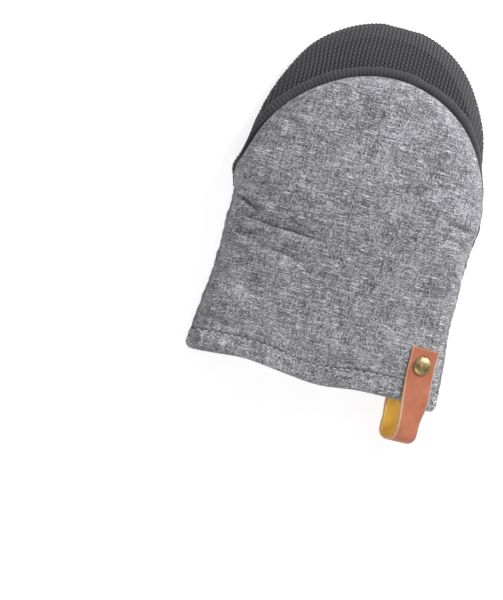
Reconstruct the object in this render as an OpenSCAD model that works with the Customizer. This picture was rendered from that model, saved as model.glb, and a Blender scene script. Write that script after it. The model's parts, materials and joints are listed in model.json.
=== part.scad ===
// Oven mitt of the short, two-pocket kind, lying on its back with the thumb flap on top.
// The hand goes in at the hem, the fingers into the long half and the thumb into the flap,
// and the two halves close on each other like a mouth.
// X runs across the mitt, Y towards the fingertips and Z up, out of the palm.

/* [Mitt] */
// Length of the mitt from the hem to the fingertip
mitt_length = 196; // [190:1:210]
// Half of the width at the hem
hem_half_width = 70.5; // [69:0.5:73]
// Half of the width at the waist, between the hem and the mouth
waist_half_width = 66.5; // [65:0.5:68]
// Half of the width at the corners of the mouth
mouth_half_width = 67; // [66.6:0.2:71]
// Distance from the hem to the waist
waist_from_hem = 52; // [46:1:58]
// Distance from the hem to the crease at the root of the mouth
crease_from_hem = 98.5; // [95:0.5:102]
// Length of the thumb flap past the crease, without its edge band
thumb_length = 68.5; // [60:0.5:74]

/* [Cloth and padding] */
// Thickness of the outer cloth and of the lining
cloth = 0.8; // [0.6:0.1:1]
// Thickness of the quilted wadding
wadding = 3.4; // [2.8:0.2:4]
// Thickness of the dark ribbed grip
grip = 2.6; // [2:0.2:3.2]
// Share of its thickness that the wall keeps where it is sewn shut at the edge
edge_share = 0.4; // [0.3:0.05:0.6]

/* [Rooms inside] */
// Height of the room for the hand inside the cuff
hand_room = 12; // [11:0.5:15]
// Height of the room for the fingers
finger_room = 9; // [8:0.5:12]
// Height of the room for the thumb
thumb_room = 8; // [7:0.5:11]
// Gap between the two grips when the mouth is closed
mouth_gap = 1; // [0.6:0.1:2]

/* [Seams] */
// Height of the hem, from the open edge to the stitches
hem_height = 10; // [8:1:14]
// Width of the groove that the hem stitches lie in
stitch_groove = 1.4; // [1.2:0.1:2]
// Length of one stitch on the outside
stitch_length = 2.6; // [2:0.1:3.2]
// Distance from one stitch to the next
stitch_pitch = 3.6; // [3.4:0.1:5]
// Diameter of the sewing thread
thread = 0.5; // [0.4:0.05:0.6]
// How far the side seam and the finger edge stand out
seam_out = 1.5; // [1:0.1:2]
// Width of the rolled band round the thumb flap
band_out = 5; // [4:0.5:6]

/* [Hanging loop and rivet] */
// Width of the leather strap
strap_width = 15; // [12:0.5:18]
// Thickness of the leather
leather = 1.8; // [1.4:0.1:2.4]
// How far the loop stands out past the hem
loop_out = 21; // [19:0.5:26]
// Inner radius of the loop's round end
eye_radius = 6; // [5.5:0.25:7]
// Place of the rivet to the right of the centre line
rivet_x = 55.6; // [54:0.2:56.6]
// Place of the rivet above the hem
rivet_from_hem = 21.5; // [19:0.5:24]
// Length of the strap past the rivet
strap_end = 9.5; // [8:0.5:12]
// Lean of the rivet, square to the palm where it goes through
rivet_lean = 13; // [12:0.5:14]
// Diameter of the rivet's domed cap
cap_diameter = 10; // [8:0.5:11]
// Radius of the rivet's post
post_radius = 1.5; // [1.2:0.1:1.8]

/* [Movement] */
// How far back from the crease the palm stays stiff
fold_before = 13; // [12:1:18]
// How far past the crease the thumb flap stays stiff
fold_after = 15; // [14:1:20]

/* [Hidden] */

$fn = 48;
joint_gap = 0.3;
hole_clearance = 0.05;
dome_from_hem = crease_from_hem + 4.5;
last_angle = 84;
dome_length = (mitt_length - seam_out - dome_from_hem) / sin(last_angle);
dome_power = 2.15;
edge_rise = 4;
seam_gap = 0.2;
hem_y = (loop_out - mitt_length) / 2;
across = 14;
grip_start = crease_from_hem + joint_gap;
fold_start = crease_from_hem - fold_before;
fold_end = crease_from_hem + fold_after;
outer_start = hem_height + stitch_groove;
slope_start = 35;
wall = 2 * cloth + wadding;
grip_wall = grip + cloth;
stitch_lift = thread / 2 + 0.1;

chambray = [0.55, 0.55, 0.57];
thread_white = [0.85, 0.85, 0.83];
wadding_white = [0.93, 0.92, 0.88];
lining_grey = [0.75, 0.75, 0.74];
grip_black = [0.24, 0.24, 0.26];
tan_leather = [0.74, 0.46, 0.34];
brass = [0.7, 0.62, 0.4];

// A smooth step from 0 to 1 as t goes from 0 to 1
function ease(t) = let (c = min(1, max(0, t))) c * c * (3 - 2 * c);

// The straight mix of two values
function mix(from, to, t) = from + (to - from) * t;

// Half of the mitt's outline, at a distance from the hem
function outline(a) =
    a < waist_from_hem ? mix(hem_half_width, waist_half_width, ease(a / waist_from_hem))
    : a < dome_from_hem
        ? mix(waist_half_width, mouth_half_width,
              ease((a - waist_from_hem) / (dome_from_hem - waist_from_hem)))
        : mouth_half_width
          * pow(max(0, 1 - pow((a - dome_from_hem) / dome_length, dome_power)), 1 / dome_power);

// Half of the width of the cloth inside the seam, for the back, the palm and the fingers
function hand_width(a) = outline(a) - seam_out;

// The same for the thumb flap, which is half an ellipse past the crease
function flap_width(a) =
    hand_width(crease_from_hem)
    * sqrt(max(0, 1 - pow(max(0, a - crease_from_hem) / thumb_length, 2)));

// How full a pocket is: 0 at its sewn edge and 1 in the middle
function fullness(u, a, start, length) =
    let (s = max(0, a - start) / length) sqrt(max(0, (1 - u * u) * (1 - s * s)));
function hand_fullness(u, a) = fullness(u, a, dome_from_hem, dome_length);
function flap_fullness(u, a) = fullness(u, a, crease_from_hem, thumb_length);

// Share of its full thickness that a wall has where the pocket is this full
function wall_share(full) = mix(edge_share, 1, min(1, 2.5 * full));

// The surfaces between the layers, from the ground up. Each is a height at u, which runs
// from -1 to 1 across the piece, and at a, the distance from the hem.
function back_surface(u, a, depth) =
    let (full = hand_fullness(u, a))
    edge_rise * pow(1 - min(1, 1.6 * full), 2) + depth * wall_share(full);
function finger_surface(u, a, depth) =
    let (full = hand_fullness(u, a))
    back_surface(u, a, wall) + seam_gap + finger_room * full + depth * wall_share(full);
function mouth_surface(u, a, depth) =
    let (hand_u = u * flap_width(a) / hand_width(a))
    finger_surface(hand_u, a, grip_wall) + mouth_gap
    + depth * wall_share(flap_fullness(u, a));
function flap_surface(u, a, depth) =
    let (full = flap_fullness(u, a))
    mouth_surface(u, a, grip_wall) + seam_gap + thumb_room * full + depth * wall_share(full);
function palm_surface(u, a, depth) =
    let (full = hand_fullness(u, a),
         low = back_surface(u, a, wall) + seam_gap + hand_room * full
               + depth * wall_share(full),
         t = ease((a - slope_start) / (crease_from_hem - slope_start)))
    mix(low, flap_surface(u, a, depth), t);
function top_surface(u, a, depth) =
    a < crease_from_hem ? palm_surface(u, a, depth) : flap_surface(u, a, depth);

// Distances from the hem at which the pieces have a row of points
function even_rows(from, to, count) = [for (i = [0:count]) mix(from, to, i / count)];
function dome_rows(start, length, from, count) =
    [for (i = [0:count])
        let (first = asin(max(0, from - start) / length))
        start + length * sin(mix(first, last_angle, i / count))];
cuff_rows = even_rows(outer_start, slope_start, 2);
slope_rows = even_rows(slope_start, fold_start, 5);
palm_rows = concat(cuff_rows, [for (i = [1:len(slope_rows) - 1]) slope_rows[i]]);
back_rows = concat(palm_rows, [crease_from_hem], dome_rows(dome_from_hem, dome_length, 0, 8));
finger_rows = concat([grip_start], dome_rows(dome_from_hem, dome_length, 0, 8));
fold_rows = concat(even_rows(fold_start, crease_from_hem, 2),
                   even_rows(crease_from_hem + fold_after / 3, fold_end, 2));
flap_rows = dome_rows(crease_from_hem, thumb_length, fold_end, 7);
mouth_rows = concat(even_rows(grip_start, (grip_start + fold_end) / 2, 1), flap_rows);
function padded(rows) = concat([hem_height], rows);

// A closed layer of cloth between two surfaces, over the given rows
module layer(rows, width, low, high) {
    sides = [for (i = [0:across]) -cos(180 * i / across)];
    count = len(sides);
    half = len(rows) * count;
    points = [for (sheet = [low, high], a = rows, u = sides)
        [u * width(a), hem_y + a, sheet(u, a)]];
    last_row = len(rows) - 1;
    function at(r, c, top) = top * half + r * count + c;
    sheets = [for (top = [0, 1], r = [0:last_row - 1], c = [0:across - 1], side = [0, 1])
        let (a = at(r, c, top), b = at(r, c + 1, top), d = at(r + 1, c, top),
             e = at(r + 1, c + 1, top),
             triangle = side == 0 ? [a, b, e] : [a, e, d])
        top == 0 ? triangle : [triangle[2], triangle[1], triangle[0]]];
    rim = concat(
        [for (c = [0:across]) [0, c]],
        [for (r = [1:last_row]) [r, across]],
        [for (c = [1:across]) [last_row, across - c]],
        [for (r = [1:last_row - 1]) [last_row - r, 0]]);
    walls = [for (i = [0:len(rim) - 1], side = [0, 1])
        let (p = rim[i], q = rim[(i + 1) % len(rim)],
             a = at(p[0], p[1], 0), b = at(q[0], q[1], 0),
             d = at(p[0], p[1], 1), e = at(q[0], q[1], 1))
        side == 0 ? [b, a, d] : [b, d, e]];
    polyhedron(points, concat(sheets, walls));
}

// A rounded strip that closes a sewn edge. Each station is [x, a, low, high, out].
module edge_strip(stations) {
    bulge = 6;
    last = len(stations) - 1;
    function spot(i) = [stations[i][0], stations[i][1]];
    function outward(i) =
        let (run = spot(min(last, i + 1)) - spot(max(0, i - 1)), size = norm(run))
        [run[1] / size, -run[0] / size];
    points = [for (i = [0:last], k = [0:bulge])
        let (s = stations[i], angle = 180 * k / bulge - 90, n = outward(i),
             off = s[4] * cos(angle))
        [s[0] + n[0] * off, hem_y + s[1] + n[1] * off,
         (s[2] + s[3]) / 2 + (s[3] - s[2]) / 2 * sin(angle)]];
    ring = bulge + 1;
    skin = [for (i = [0:last - 1], k = [0:bulge], side = [0, 1])
        let (a = i * ring + k, b = i * ring + (k + 1) % ring,
             d = a + ring, e = b + ring)
        side == 0 ? [a, b, e] : [a, e, d]];
    caps = [[for (k = [0:bulge]) bulge - k], [for (k = [0:bulge]) last * ring + k]];
    polyhedron(points, concat(skin, caps));
}

// Stations up one side of a piece, round its tip and down the other side
function round_stations(rows, width, low, high, out) =
    let (last = len(rows) - 1)
    concat(
        [for (a = rows) [width(a), a, low(1, a), high(1, a), out(a)]],
        [[0, rows[last], low(0, rows[last]), high(0, rows[last]), out(rows[last])]],
        [for (i = [0:last])
            let (a = rows[last - i]) [-width(a), a, low(-1, a), high(-1, a), out(a)]]);

// The stitches of the hem: short threads in the groove between the hem and the panel
module hem_stitches(sheet, lift) {
    middle = hem_height + stitch_groove / 2;
    half_width = hand_width(middle);
    count = floor(half_width / stitch_pitch) - 1;
    function height(x) = sheet(x / half_width, middle) + lift;
    for (i = [-count:count]) {
        x = i * stitch_pitch;
        half = stitch_length / 2;
        from = height(x - half);
        to = height(x + half);
        translate([x, hem_y + middle, (from + to) / 2])
            rotate([0, 90 - atan2(to - from, stitch_length), 0])
                cylinder(d = thread, h = stitch_length, center = true, $fn = 16);
    }
}

// Moves its children to the rivet, with Z along the rivet and the middle of the palm at 0
module at_rivet() {
    u = rivet_x / hand_width(rivet_from_hem);
    middle = palm_surface(u, rivet_from_hem, wall / 2);
    translate([rivet_x, hem_y + rivet_from_hem, middle])
        rotate([0, rivet_lean, 0])
            children();
}

// Clearances between the palm at the rivet and the strap that is folded round it
strap_above = wall / 2 + 0.6;
strap_below = wall / 2 + 1.1;

// Takes the rivet's hole out of a layer of the palm
module drilled() {
    difference() {
        children();
        at_rivet() cylinder(r = post_radius + hole_clearance, h = 4 * wall, center = true);
    }
}

module back_outer_panel() {
    color(chambray)
        layer(back_rows, function(a) hand_width(a),
              function(u, a) back_surface(u, a, 0),
              function(u, a) back_surface(u, a, cloth));
}

module back_wadding() {
    color(wadding_white)
        layer(padded(back_rows), function(a) hand_width(a),
              function(u, a) back_surface(u, a, cloth),
              function(u, a) back_surface(u, a, wall - cloth));
}

module back_lining() {
    color(lining_grey)
        layer(padded(back_rows), function(a) hand_width(a),
              function(u, a) back_surface(u, a, wall - cloth),
              function(u, a) back_surface(u, a, wall));
}

module back_hem() {
    color(chambray)
        layer([0, hem_height], function(a) outline(a),
              function(u, a) back_surface(u, a, 0),
              function(u, a) back_surface(u, a, wall));
}

module back_hem_stitches() {
    color(thread_white) hem_stitches(function(u, a) back_surface(u, a, cloth), -stitch_lift);
}

module finger_grip() {
    color(grip_black)
        layer(finger_rows, function(a) hand_width(a),
              function(u, a) finger_surface(u, a, cloth),
              function(u, a) finger_surface(u, a, grip_wall));
}

module finger_grip_lining() {
    color(lining_grey)
        layer(finger_rows, function(a) hand_width(a),
              function(u, a) finger_surface(u, a, 0),
              function(u, a) finger_surface(u, a, cloth));
}

module finger_edge() {
    color(grip_black)
        edge_strip(round_stations(finger_rows, function(a) hand_width(a),
                                  function(u, a) back_surface(u, a, 0),
                                  function(u, a) finger_surface(u, a, grip_wall),
                                  function(a) seam_out));
}

module palm_outer_panel() {
    color(chambray)
        drilled()
            layer(palm_rows, function(a) hand_width(a),
                  function(u, a) palm_surface(u, a, wall - cloth),
                  function(u, a) palm_surface(u, a, wall));
}

module palm_wadding() {
    color(wadding_white)
        drilled()
            layer(padded(palm_rows), function(a) hand_width(a),
                  function(u, a) palm_surface(u, a, cloth),
                  function(u, a) palm_surface(u, a, wall - cloth));
}

module palm_lining() {
    color(lining_grey)
        drilled()
            layer(padded(palm_rows), function(a) hand_width(a),
                  function(u, a) palm_surface(u, a, 0),
                  function(u, a) palm_surface(u, a, cloth));
}

module palm_hem() {
    color(chambray)
        layer([0, hem_height], function(a) outline(a),
              function(u, a) palm_surface(u, a, 0),
              function(u, a) palm_surface(u, a, wall));
}

module palm_hem_stitches() {
    color(thread_white)
        hem_stitches(function(u, a) palm_surface(u, a, wall - cloth), stitch_lift);
}

// Width of the cloth on top, which is the palm's and then the thumb flap's
function top_width(a) = a < crease_from_hem ? hand_width(a) : flap_width(a);

module fold_layer(low, high) {
    layer(fold_rows, function(a) top_width(a),
          function(u, a) top_surface(u, a, low),
          function(u, a) top_surface(u, a, high));
}

module fold_outer() {
    color(chambray) fold_layer(wall - cloth, wall);
}

module fold_wadding() {
    color(wadding_white) fold_layer(cloth, wall - cloth);
}

module fold_lining() {
    color(lining_grey) fold_layer(0, cloth);
}

module flap_layer(low, high) {
    layer(flap_rows, function(a) flap_width(a),
          function(u, a) flap_surface(u, a, low),
          function(u, a) flap_surface(u, a, high));
}

module thumb_outer_panel() {
    color(chambray) flap_layer(wall - cloth, wall);
}

module thumb_wadding() {
    color(wadding_white) flap_layer(cloth, wall - cloth);
}

module thumb_lining() {
    color(lining_grey) flap_layer(0, cloth);
}

module thumb_grip() {
    color(grip_black)
        layer(mouth_rows, function(a) flap_width(a),
              function(u, a) mouth_surface(u, a, 0),
              function(u, a) mouth_surface(u, a, grip));
}

module thumb_grip_lining() {
    color(lining_grey)
        layer(mouth_rows, function(a) flap_width(a),
              function(u, a) mouth_surface(u, a, grip),
              function(u, a) mouth_surface(u, a, grip_wall));
}

module thumb_edge_band() {
    full_band = crease_from_hem + thumb_length / 2;
    color(grip_black)
        edge_strip(round_stations(flap_rows, function(a) flap_width(a),
                                  function(u, a) mouth_surface(u, a, 0),
                                  function(u, a) flap_surface(u, a, wall),
                                  function(a) mix(seam_out, band_out,
                                      ease((a - fold_end) / (full_band - fold_end)))));
}

module side_seam(side) {
    stations = [for (a = padded(palm_rows))
        [hand_width(a), a, back_surface(1, a, 0), palm_surface(1, a, wall), seam_out]];
    color(chambray)
        mirror([side < 0 ? 1 : 0, 0, 0]) edge_strip(stations);
}

module side_seam_left() {
    side_seam(-1);
}

module side_seam_right() {
    side_seam(1);
}

// The strap seen from its edge: both legs and the round end past the hem
module strap_outline(grown) {
    end_y = eye_radius + leather - loop_out - rivet_from_hem;
    eye_z = (strap_above - strap_below) / 2;
    hull() {
        translate([end_y, eye_z]) circle(r = eye_radius + grown);
        translate([end_y + 2 * eye_radius, -strap_below - grown])
            square([0.01, strap_above + strap_below + 2 * grown]);
    }
    translate([end_y + 2 * eye_radius, -strap_below - grown])
        square([strap_end - end_y - 2 * eye_radius, strap_above + strap_below + 2 * grown]);
}

module hanging_loop() {
    color(tan_leather)
        at_rivet()
            difference() {
                rotate([90, 0, 90])
                    linear_extrude(strap_width, center = true)
                        difference() {
                            strap_outline(leather);
                            strap_outline(0);
                            translate([strap_end - 0.01, -strap_below])
                                square([1, strap_above + strap_below]);
                        }
                cylinder(r = post_radius + hole_clearance, h = 60, center = true);
            }
}

cap_z = strap_above + leather + 0.1;
base_z = -strap_below - leather - 0.1;

module rivet_cap() {
    cap_height = 1.8;
    dome_radius = (pow(cap_diameter / 2, 2) + pow(cap_height, 2)) / (2 * cap_height);
    color(brass)
        at_rivet()
            translate([0, 0, cap_z])
                intersection() {
                    translate([0, 0, cap_height - dome_radius]) sphere(r = dome_radius, $fn = 96);
                    cylinder(d = cap_diameter, h = 2 * cap_height);
                }
}

module rivet_post() {
    color(brass)
        at_rivet()
            translate([0, 0, base_z])
                cylinder(r = post_radius, h = cap_z - base_z);
}

module rivet_base() {
    base_height = 0.9;
    color(brass)
        at_rivet()
            translate([0, 0, base_z - base_height])
                cylinder(d = cap_diameter * 0.9, h = base_height);
}

back_outer_panel();
back_wadding();
back_lining();
back_hem();
back_hem_stitches();
finger_grip();
finger_grip_lining();
finger_edge();
palm_outer_panel();
palm_wadding();
palm_lining();
palm_hem();
palm_hem_stitches();
fold_outer();
fold_wadding();
fold_lining();
thumb_outer_panel();
thumb_wadding();
thumb_lining();
thumb_grip();
thumb_grip_lining();
thumb_edge_band();
side_seam_left();
side_seam_right();
hanging_loop();
rivet_cap();
rivet_post();
rivet_base();
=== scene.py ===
"""The looks of a short oven mitt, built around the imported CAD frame.

Lengths in this script are millimetres until a mesh is made, and MM turns them into metres.
x runs across the mitt, a is the distance from the hem towards the fingertips, z is up.
"""
import json
import math

import bpy
import numpy as np
from mathutils import Matrix, Vector


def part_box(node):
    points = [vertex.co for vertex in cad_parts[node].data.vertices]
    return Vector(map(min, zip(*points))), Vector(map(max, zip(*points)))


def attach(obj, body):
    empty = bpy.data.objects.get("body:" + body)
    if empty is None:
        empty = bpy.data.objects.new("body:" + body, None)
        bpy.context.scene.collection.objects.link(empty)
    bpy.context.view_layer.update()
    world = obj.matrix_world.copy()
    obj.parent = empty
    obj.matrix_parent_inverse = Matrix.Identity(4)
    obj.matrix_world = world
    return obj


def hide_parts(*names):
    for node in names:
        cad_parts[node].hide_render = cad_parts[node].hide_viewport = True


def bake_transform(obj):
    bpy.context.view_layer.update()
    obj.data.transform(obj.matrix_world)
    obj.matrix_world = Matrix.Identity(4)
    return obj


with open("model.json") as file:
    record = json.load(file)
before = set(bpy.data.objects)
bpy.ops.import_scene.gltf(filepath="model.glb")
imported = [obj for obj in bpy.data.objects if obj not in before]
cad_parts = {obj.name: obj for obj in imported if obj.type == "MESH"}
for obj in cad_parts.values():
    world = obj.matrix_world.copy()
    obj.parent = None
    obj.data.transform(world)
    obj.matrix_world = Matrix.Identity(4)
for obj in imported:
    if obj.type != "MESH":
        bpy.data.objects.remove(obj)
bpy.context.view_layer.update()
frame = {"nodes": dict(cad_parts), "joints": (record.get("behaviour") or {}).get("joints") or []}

MM = 0.001
TURN = 2 * math.pi

# ---- places from the frame
JOINTS = {joint["name"]: joint for joint in frame["joints"]}
HEM_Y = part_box("palm_hem")[0].y / MM
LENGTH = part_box("finger_edge")[1].y / MM - HEM_Y
CREASE = JOINTS["mouth_open"]["pos_m"][1] / MM - HEM_Y
RIVET = Vector(JOINTS["loop_swing"]["pos_m"]) / MM
RIVET_AXIS = Vector(JOINTS["loop_swing"]["axis"]).normalized()
HEM_HEIGHT = (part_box("palm_hem")[1].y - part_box("palm_hem")[0].y) / MM
LOOP_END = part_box("hanging_loop")[0].y / MM - HEM_Y
STRAP_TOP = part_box("hanging_loop")[1].y / MM - HEM_Y

# ---- sizes of the mitt
HEM_HALF = 70.5
WAIST_HALF = 66.5
WAIST_FROM_HEM = 52
FINGER_HALF = 66.5
DOME_START = CREASE + 4.5
DOME_LENGTH = LENGTH - DOME_START
DOME_POWER = 2.15
CORNER_BUMP = 2.2
LEFT_CORNER = 1.7
HEM_SAG_END = 34
SEAM_OUT = 1.5
FLAP_LENGTH = 68.5
FLAP_POWER = 1.95
FLAP_LEAN = 3.5
CLOTH = 0.8
WADDING = 3.4
WALL = 2 * CLOTH + WADDING
GRIP = 2.6
GRIP_WALL = GRIP + CLOTH
EDGE_SHARE = 0.4
EDGE_RISE = 4
SEAM_GAP = 0.2
HAND_ROOM = 12
FINGER_ROOM = 9
THUMB_ROOM = 8
MOUTH_GAP = 1.2
SLOPE_START = 35
WEB_DEPTH = 9
PAD_INSET = 1.6
GROOVE = HEM_HEIGHT + 0.7
STITCH_PITCH = 3.6
BEAD_PITCH = 2.16
BEAD_HEIGHT = 0.62


def ease(t):
    """A smooth step from 0 to 1 as t goes from 0 to 1."""
    t = np.clip(t, 0, 1)
    return t * t * (3 - 2 * t)


def mix(low, high, t):
    """The straight mix of two values."""
    return low + (high - low) * t


def bell(t):
    """A smooth bump of height 1 and width about 1 round 0."""
    return np.exp(-t * t)


def waves(x, a, seed, length, count=14):
    """Soft irregular waves of about height 1 with crests about that length apart."""
    random = np.random.RandomState(seed)
    total = 0
    for _ in range(count):
        turn = random.uniform(0, math.pi)
        size = TURN / (length * random.uniform(0.7, 1.6))
        total = total + np.cos(size * (x * math.cos(turn) + a * math.sin(turn))
                               + random.uniform(0, TURN))
    return total / math.sqrt(count / 2) / 1.6


# ---- the mitt's outline
def outline(a):
    """Half of the mitt's width at a distance from the hem."""
    cuff = mix(HEM_HALF, WAIST_HALF, ease(a / WAIST_FROM_HEM))
    along = np.clip((a - DOME_START) / DOME_LENGTH, 0, 1)
    dome = FINGER_HALF * (1 - along ** DOME_POWER) ** (1 / DOME_POWER)
    corner = CORNER_BUMP * bell((a - CREASE - 3) / 9)
    rounded = 3.2 * bell(a / 1.8)
    return np.where(a < DOME_START, cuff, dome) + corner - rounded


def hand_width(a):
    """Half of the width of the cloth inside the seam."""
    return np.maximum(outline(a) - SEAM_OUT, 0.2)


def along_flap(a):
    """How far along the thumb flap a row is, from 0 to 1."""
    return np.clip((a - CREASE) / FLAP_LENGTH, 0, 1)


def flap_width(a):
    """Half of the width of the thumb flap's cloth past the crease."""
    along = along_flap(a)
    return hand_width(np.minimum(a, CREASE)) * (1 - along ** FLAP_POWER) ** (1 / FLAP_POWER)


def flap_middle(a):
    """How far the thumb flap's middle line leans to the right, and wavers a little."""
    along = along_flap(a)
    return FLAP_LEAN * along + 0.6 * np.sin(3 * math.pi * along) * along


# ---- heights of the layers
def fullness(u, along):
    """How full a pocket is: 0 at its sewn edge and 1 in the middle."""
    return np.sqrt(np.maximum(0, (1 - u * u) * (1 - along * along)))


def hand_fullness(x, a):
    """How full the hand's pocket is at a place."""
    u = np.clip(x / hand_width(a), -1, 1)
    return fullness(u, np.clip((a - DOME_START) / DOME_LENGTH, 0, 1))


def share(full, edge=EDGE_SHARE):
    """Share of its full thickness that a wall has where the pocket is this full."""
    return mix(edge, 1, np.minimum(1, 2.5 * full))


def rising_edge(full):
    """How far the mitt's edge stands off the ground where the pocket is this full."""
    return EDGE_RISE * (1 - np.minimum(1, 1.6 * full)) ** 2


def back_height(x, a, depth):
    """Heights of the back, which lies on the ground."""
    full = hand_fullness(x, a)
    return rising_edge(full) + depth * share(full)


def finger_height(x, a, depth):
    """Heights of the finger half's upper side, where the grip runs out to the mitt's edge."""
    full = fullness(np.clip(x / outline(a), -1, 1),
                    np.clip((a - DOME_START) / (DOME_LENGTH + 0.5), 0, 1))
    rim = share(full, 0.12)
    return rising_edge(full) + (WALL + depth) * rim + SEAM_GAP + FINGER_ROOM * full


def mouth_height(x, a, depth, full):
    """Heights of the thumb flap's grip, which closes on the finger half."""
    closing = ease((a - CREASE + WEB_DEPTH) / WEB_DEPTH)
    return (finger_height(x, a, GRIP_WALL) + mix(0.1, MOUTH_GAP, closing)
            + depth * share(full))


def flap_height(u, a, depth):
    """Heights of the thumb flap's upper wall."""
    full = fullness(u, along_flap(a))
    x = flap_middle(a) + u * flap_width(a)
    return mouth_height(x, a, GRIP_WALL, full) + SEAM_GAP + THUMB_ROOM * full + depth * share(full)


def palm_height(u, a, depth):
    """Heights of the palm, which rises towards the flap."""
    x = u * hand_width(a)
    full = hand_fullness(x, a)
    low = back_height(x, a, WALL) + SEAM_GAP + HAND_ROOM * full + depth * share(full)
    rise = ease((a - SLOPE_START) / (CREASE - SLOPE_START))
    return mix(low, flap_height(u, a, depth), rise)


# ---- creases and puckers
# Each crease is a path of (x, distance from the hem), its half width and its depth.
FRONT_CREASES = [
    ([(-67, 86), (-59, 84), (-50, 80)], 1.2, 2.2),
    ([(-59, 75.5), (-48, 75), (-37, 74), (-24, 73.5), (-14, 72)], 1.9, 2.8),
    ([(-48, 63), (-34, 61.5), (-20, 58)], 2.6, 1.9),
    ([(-58, 70), (-34, 66), (-8, 66)], 6.0, 1.1),
    ([(-64, 66), (-54, 66.5), (-44, 69)], 2.0, 1.2),
    ([(-66, 94), (-58, 97), (-46, 98)], 3.2, 1.1),
    ([(34, 88.5), (46, 89.5)], 1.8, 0.7),
    ([(48, 98), (58, 97.5), (67, 96)], 1.5, 1.5),
    ([(58, 88), (67, 87)], 1.6, 0.9),
    ([(32, 68), (44, 69.5), (55, 72)], 2.6, 0.8),
    ([(62, 60), (54, 57), (44, 56)], 2.6, 0.6),
    ([(-20, 30), (-8, 27), (6, 27)], 3.2, 0.5),
    ([(20, 44), (34, 41), (46, 42)], 3.0, 0.5),
]
BACK_CREASES = [
    ([(-60, 100), (-46, 96), (-30, 97)], 3.0, 0.7),
    ([(62, 84), (50, 81), (36, 83)], 3.0, 0.7),
    ([(-58, 60), (-44, 62), (-28, 59)], 3.2, 0.6),
    ([(-20, 40), (0, 37), (22, 40)], 3.6, 0.5),
]


def crease_depth(x, a, creases, padding=False):
    """How deep cloth dips into creases: a pinched line in a soft valley with low ridges.

    The padding below follows the valley only, and lies a little under the cloth.
    """
    total = np.zeros_like(x)
    for path, width, depth in creases:
        corners = np.array(path, float)
        steps = np.linalg.norm(np.diff(corners, axis=0), axis=1)
        whole = steps.sum()
        best = np.full(x.shape, 1e9)
        place = np.zeros_like(x)
        start = 0
        for p, q, step in zip(corners[:-1], corners[1:], steps):
            t = np.clip(((x - p[0]) * (q[0] - p[0]) + (a - p[1]) * (q[1] - p[1])) / step ** 2, 0, 1)
            gap = np.hypot(x - mix(p[0], q[0], t), a - mix(p[1], q[1], t))
            near = gap < best
            place = np.where(near, (start + t * step) / whole, place)
            best = np.where(near, gap, best)
            start += step
        fade = np.sqrt(np.clip(np.sin(math.pi * np.clip(place, 0.06, 0.94)), 0, 1))
        valley = bell(best / (1.5 * width))
        pinch = valley if padding else bell(best / (0.45 * width))
        groove = 0.6 * valley + 0.6 * pinch - 0.35 * bell((best - 3 * width) / (1.4 * width))
        total = total + depth * fade * groove
    return total


def edge_puckers(u, a, seed):
    """Small gathers that run in from a sewn edge, square to it."""
    inward = np.maximum(0, 1 - np.abs(u))
    side = np.where(u < 0, 0, 37)
    ripple = np.cos(TURN * a / 7.5 + 1.7 * waves(a, side, seed, 30) + side)
    return 0.35 * ripple * bell((inward - 0.035) / 0.045)


def hem_dip(x, a, seed):
    """The stitch groove above the hem, deeper at each stitch."""
    beat = 0.5 + 0.5 * np.cos(TURN * x / STITCH_PITCH + seed)
    loose = 0.8 + 0.3 * waves(x, 0 * x, 7, 17)
    groove = (0.4 + 0.6 * beat) * bell((a - GROOVE) / 1.1)
    return loose * (groove + 0.35 * beat * bell((a - GROOVE) / 3.5))


# ---- meshes
def rows_along(start, dome_start, dome_length, step, last=88.5):
    """Distances from the hem, evenly spaced, and closing up round a dome."""
    straight = np.arange(start, dome_start, step)
    first = math.asin(max(0, start - dome_start) / dome_length)
    count = int(dome_length * (math.radians(last) - first) / step)
    angles = np.linspace(first, math.radians(last), count + 1)
    return np.concatenate([straight, dome_start + dome_length * np.sin(angles)])


def columns(count):
    """Places from -1 to 1 across a piece, closer together at its edges."""
    return -np.cos(math.pi * np.arange(count + 1) / count)


def grid(rows, count):
    """Every pair of a column's place and a row's distance, as two arrays."""
    return np.meshgrid(columns(count), rows)


def spots(x, a, z):
    """Points in the row frame. The mouth's left corner stands out and the hem is wavy."""
    corner = LEFT_CORNER * bell((a - CREASE - 1) / 7) * np.clip(-x / FINGER_HALF, 0, 1) ** 3
    sag = (0.9 - 1.4 * np.cos(TURN * (x - 42) / 80)) * ease((HEM_SAG_END - a) / HEM_SAG_END)
    sag = sag + 2.2 * bell((x + 2) / 16) * bell((a - GROOVE) / 8)
    return np.stack([x - corner, HEM_Y + a - sag, z], axis=-1)


def finger_side(x, a, z):
    """Points of the finger half, which isn't quite even: it leans to the left."""
    tuck = 3.3 * bell((a - 131) / 22) + 1.9 * bell((a - 168) / 16)
    swell = 1.8 * bell((a - 177) / 10)
    right = np.clip(x / FINGER_HALF, 0, 1) ** 1.5
    left = np.clip(-x / FINGER_HALF, 0, 1) ** 0.8
    return spots(x - tuck * right - swell * left, a, z)


def cloth_map(points):
    """Where each point of a grid lies on the flat cloth, in millimetres."""
    def run(p, axis):
        """Distances along the rows or the columns."""
        gaps = np.linalg.norm(np.diff(p, axis=axis), axis=2)
        return np.concatenate([np.zeros_like(np.take(gaps, [0], axis)),
                               np.cumsum(gaps, axis=axis)], axis=axis)
    sideways = run(points, 1)
    middle = sideways[:, [sideways.shape[1] // 2]]
    along = run(points, 0)[:, [points.shape[1] // 2]]
    return np.stack([sideways - middle, np.broadcast_to(along, sideways.shape)], axis=-1)


def grid_quads(rows, cols, start=0):
    """Faces of a grid of points."""
    r, c = np.meshgrid(np.arange(rows - 1), np.arange(cols - 1), indexing="ij")
    first = start + r * cols + c
    return np.stack([first, first + 1, first + cols + 1, first + cols], -1).reshape(-1, 4)


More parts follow.
